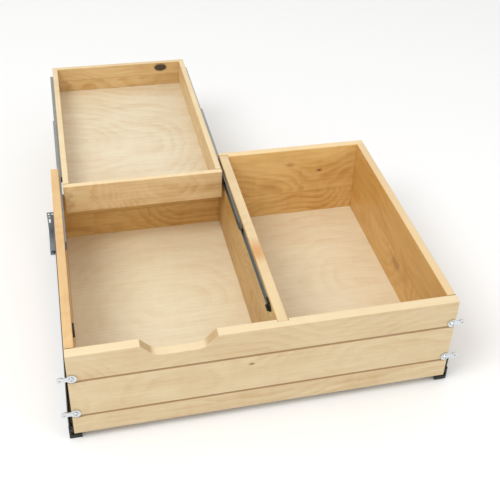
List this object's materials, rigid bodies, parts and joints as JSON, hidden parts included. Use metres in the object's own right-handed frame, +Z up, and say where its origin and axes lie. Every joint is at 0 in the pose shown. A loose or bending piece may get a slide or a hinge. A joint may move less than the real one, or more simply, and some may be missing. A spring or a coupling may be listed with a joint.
{
  "type": "drawer organizer insert",
  "caption": "Two-tier wooden drawer with a divider on undermount runners, and a shallow half-width tray that slides over one bay.",
  "frame": {"origin": "bottom centre of the whole object at rest, on the underside of the runners", "axes": "+Z up, +Y from the front panel to the back, +X to the right seen from the front"},
  "size_m": [0.715, 0.9788, 0.2065],
  "materials": {
    "maple": "clear satin lacquer",
    "plywood": "clear satin lacquer",
    "zinc_steel": "bright zinc plate",
    "black_plastic": "moulded",
    "grey_plastic": "moulded",
    "bronze": "dark antique"
  },
  "bodies": {
    "cabinet_runners": {"left_runner_cabinet_profile": "zinc_steel", "left_runner_front_cap": "black_plastic", "left_runner_rear_bracket": "zinc_steel", "left_runner_bracket_screw": "zinc_steel", "right_runner_cabinet_profile": "zinc_steel", "right_runner_front_cap": "black_plastic", "right_runner_rear_bracket": "zinc_steel", "right_runner_bracket_screw": "zinc_steel"},
    "left_carriage": {"left_runner_carriage": "zinc_steel"},
    "right_carriage": {"right_runner_carriage": "zinc_steel"},
    "left_lower_rollers": {"left_runner_lower_roller_cage": "grey_plastic"},
    "left_upper_rollers": {"left_runner_upper_roller_cage": "grey_plastic"},
    "right_lower_rollers": {"right_runner_lower_roller_cage": "grey_plastic"},
    "right_upper_rollers": {"right_runner_upper_roller_cage": "grey_plastic"},
    "drawer_box": {"front_panel": "maple", "back_panel": "maple", "left_side": "maple", "right_side": "maple", "divider": "maple", "bottom_panel": "plywood", "left_slide_outer_member": "zinc_steel", "left_slide_front_stop": "black_plastic", "left_slide_wall_screw_1": "zinc_steel", "left_slide_wall_screw_2": "zinc_steel", "right_slide_outer_member": "zinc_steel", "right_slide_front_stop": "black_plastic", "right_slide_wall_screw_1": "zinc_steel", "right_slide_wall_screw_2": "zinc_steel", "left_runner_drawer_profile": "zinc_steel", "right_runner_drawer_profile": "zinc_steel", "left_locking_device": "grey_plastic", "right_locking_device": "grey_plastic", "left_lower_door_clip": "zinc_steel", "left_upper_door_clip": "zinc_steel", "right_lower_door_clip": "zinc_steel", "right_upper_door_clip": "zinc_steel", "left_lower_door_clip_screw": "zinc_steel", "left_upper_door_clip_screw": "zinc_steel", "right_lower_door_clip_screw": "zinc_steel", "right_upper_door_clip_screw": "zinc_steel"},
    "left_lever": {"left_release_lever": "grey_plastic"},
    "right_lever": {"right_release_lever": "grey_plastic"},
    "left_slide_middle": {"left_slide_middle_member": "zinc_steel"},
    "right_slide_middle": {"right_slide_middle_member": "zinc_steel"},
    "left_outer_balls": {"left_slide_outer_ball_cage": "zinc_steel"},
    "left_inner_balls": {"left_slide_inner_ball_cage": "zinc_steel"},
    "right_outer_balls": {"right_slide_outer_ball_cage": "zinc_steel"},
    "right_inner_balls": {"right_slide_inner_ball_cage": "zinc_steel"},
    "tray": {"tray_front": "maple", "tray_back": "maple", "tray_left_side": "maple", "tray_right_side": "maple", "tray_bottom": "plywood", "badge": "bronze", "left_slide_inner_member": "zinc_steel", "left_slide_tray_screw_1": "zinc_steel", "left_slide_tray_screw_2": "zinc_steel", "right_slide_inner_member": "zinc_steel", "right_slide_tray_screw_1": "zinc_steel", "right_slide_tray_screw_2": "zinc_steel"}
  },
  "joints": [
    {"name": "drawer_slide", "type": "slide", "parent": "cabinet_runners", "child": "drawer_box", "axis": [0, 1, 0], "range_m": [-0.508, 0]},
    {"name": "left_carriage_slide", "type": "slide", "parent": "cabinet_runners", "child": "left_carriage", "axis": [0, 1, 0], "range_m": [-0.254, 0]},
    {"name": "right_carriage_slide", "type": "slide", "parent": "cabinet_runners", "child": "right_carriage", "axis": [0, 1, 0], "range_m": [-0.254, 0]},
    {"name": "left_lower_roller_slide", "type": "slide", "parent": "cabinet_runners", "child": "left_lower_rollers", "axis": [0, 1, 0], "range_m": [-0.127, 0]},
    {"name": "right_lower_roller_slide", "type": "slide", "parent": "cabinet_runners", "child": "right_lower_rollers", "axis": [0, 1, 0], "range_m": [-0.127, 0]},
    {"name": "left_upper_roller_slide", "type": "slide", "parent": "cabinet_runners", "child": "left_upper_rollers", "axis": [0, 1, 0], "range_m": [-0.381, 0]},
    {"name": "right_upper_roller_slide", "type": "slide", "parent": "cabinet_runners", "child": "right_upper_rollers", "axis": [0, 1, 0], "range_m": [-0.381, 0]},
    {"name": "left_release", "type": "hinge", "parent": "drawer_box", "child": "left_lever", "pos_m": [-0.306, -0.4236, 0.014], "axis": [0, 0, 1], "range_deg": [-6, 0], "stiffness_Nm_per_rad": 0.02},
    {"name": "right_release", "type": "hinge", "parent": "drawer_box", "child": "right_lever", "pos_m": [0.306, -0.4236, 0.014], "axis": [0, 0, 1], "range_deg": [0, 6], "stiffness_Nm_per_rad": 0.02},
    {"name": "tray_slide", "type": "slide", "parent": "drawer_box", "child": "tray", "axis": [0, 1, 0], "range_m": [-0.436, 0.021]},
    {"name": "left_middle_slide", "type": "slide", "parent": "drawer_box", "child": "left_slide_middle", "axis": [0, 1, 0], "range_m": [-0.218, 0.0105]},
    {"name": "right_middle_slide", "type": "slide", "parent": "drawer_box", "child": "right_slide_middle", "axis": [0, 1, 0], "range_m": [-0.218, 0.0105]},
    {"name": "left_outer_ball_slide", "type": "slide", "parent": "drawer_box", "child": "left_outer_balls", "axis": [0, 1, 0], "range_m": [-0.109, 0.00525]},
    {"name": "right_outer_ball_slide", "type": "slide", "parent": "drawer_box", "child": "right_outer_balls", "axis": [0, 1, 0], "range_m": [-0.109, 0.00525]},
    {"name": "left_inner_ball_slide", "type": "slide", "parent": "drawer_box", "child": "left_inner_balls", "axis": [0, 1, 0], "range_m": [-0.327, 0.01575]},
    {"name": "right_inner_ball_slide", "type": "slide", "parent": "drawer_box", "child": "right_inner_balls", "axis": [0, 1, 0], "range_m": [-0.327, 0.01575]}
  ],
  "couplings": [
    {"joint": "left_carriage_slide", "follows": "drawer_slide", "ratio": 0.5},
    {"joint": "right_carriage_slide", "follows": "drawer_slide", "ratio": 0.5},
    {"joint": "left_lower_roller_slide", "follows": "drawer_slide", "ratio": 0.25},
    {"joint": "right_lower_roller_slide", "follows": "drawer_slide", "ratio": 0.25},
    {"joint": "left_upper_roller_slide", "follows": "drawer_slide", "ratio": 0.75},
    {"joint": "right_upper_roller_slide", "follows": "drawer_slide", "ratio": 0.75},
    {"joint": "left_middle_slide", "follows": "tray_slide", "ratio": 0.5},
    {"joint": "right_middle_slide", "follows": "tray_slide", "ratio": 0.5},
    {"joint": "left_outer_ball_slide", "follows": "tray_slide", "ratio": 0.25},
    {"joint": "right_outer_ball_slide", "follows": "tray_slide", "ratio": 0.25},
    {"joint": "left_inner_ball_slide", "follows": "tray_slide", "ratio": 0.75},
    {"joint": "right_inner_ball_slide", "follows": "tray_slide", "ratio": 0.75}
  ]
}
